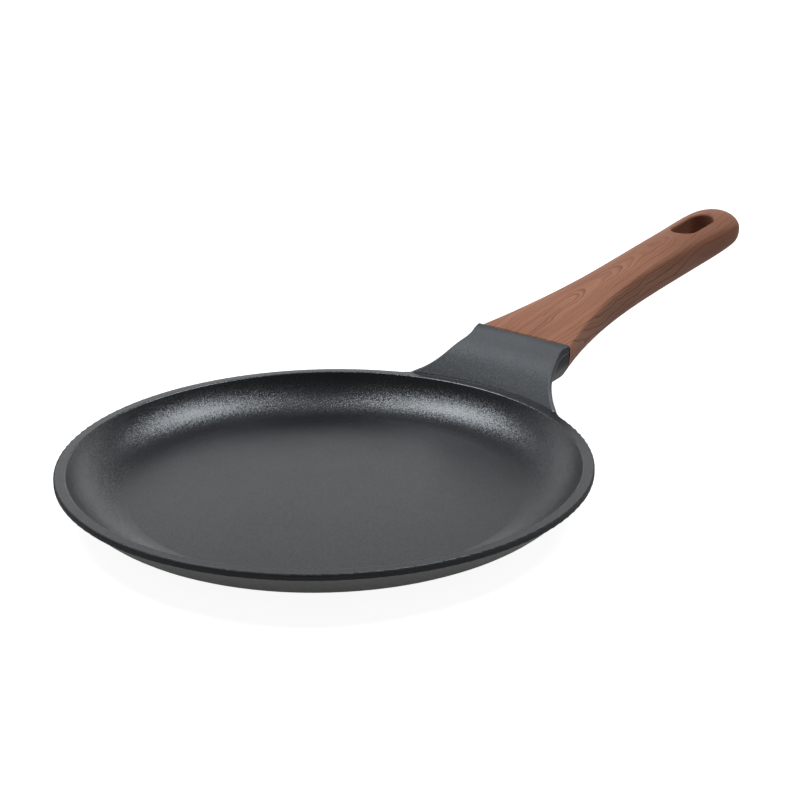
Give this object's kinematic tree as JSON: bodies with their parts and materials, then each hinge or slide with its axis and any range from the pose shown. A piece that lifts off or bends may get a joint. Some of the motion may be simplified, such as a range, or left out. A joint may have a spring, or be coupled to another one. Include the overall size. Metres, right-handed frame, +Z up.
{
  "type": "crepe pan",
  "caption": "Shallow round crepe pan: a cast dish with a flat rim, a flared lug that rises to the handle, and a long wood-look handle with a hanging slot.",
  "frame": {"origin": "centre of the round base, on the surface that the pan stands on", "axes": "+Z up, +X out of the pan along the handle"},
  "size_m": [0.4571, 0.2414, 0.0702],
  "materials": {
    "coated_casting": "cast aluminium under a dark grey non-stick coating with fine sparkle",
    "base_steel": "stamped stainless steel with a fine turned grain",
    "handle_moulding": "phenolic moulding with a satin wood-look film, bare and black at its front edge",
    "screw_steel": "bright zinc-plated steel"
  },
  "bodies": {
    "root": {"pan_body": "coated_casting", "base_plate": "base_steel", "handle": "handle_moulding", "handle_screw": "screw_steel", "flat_washer": "screw_steel", "spring_washer": "screw_steel"}
  },
  "joints": []
}
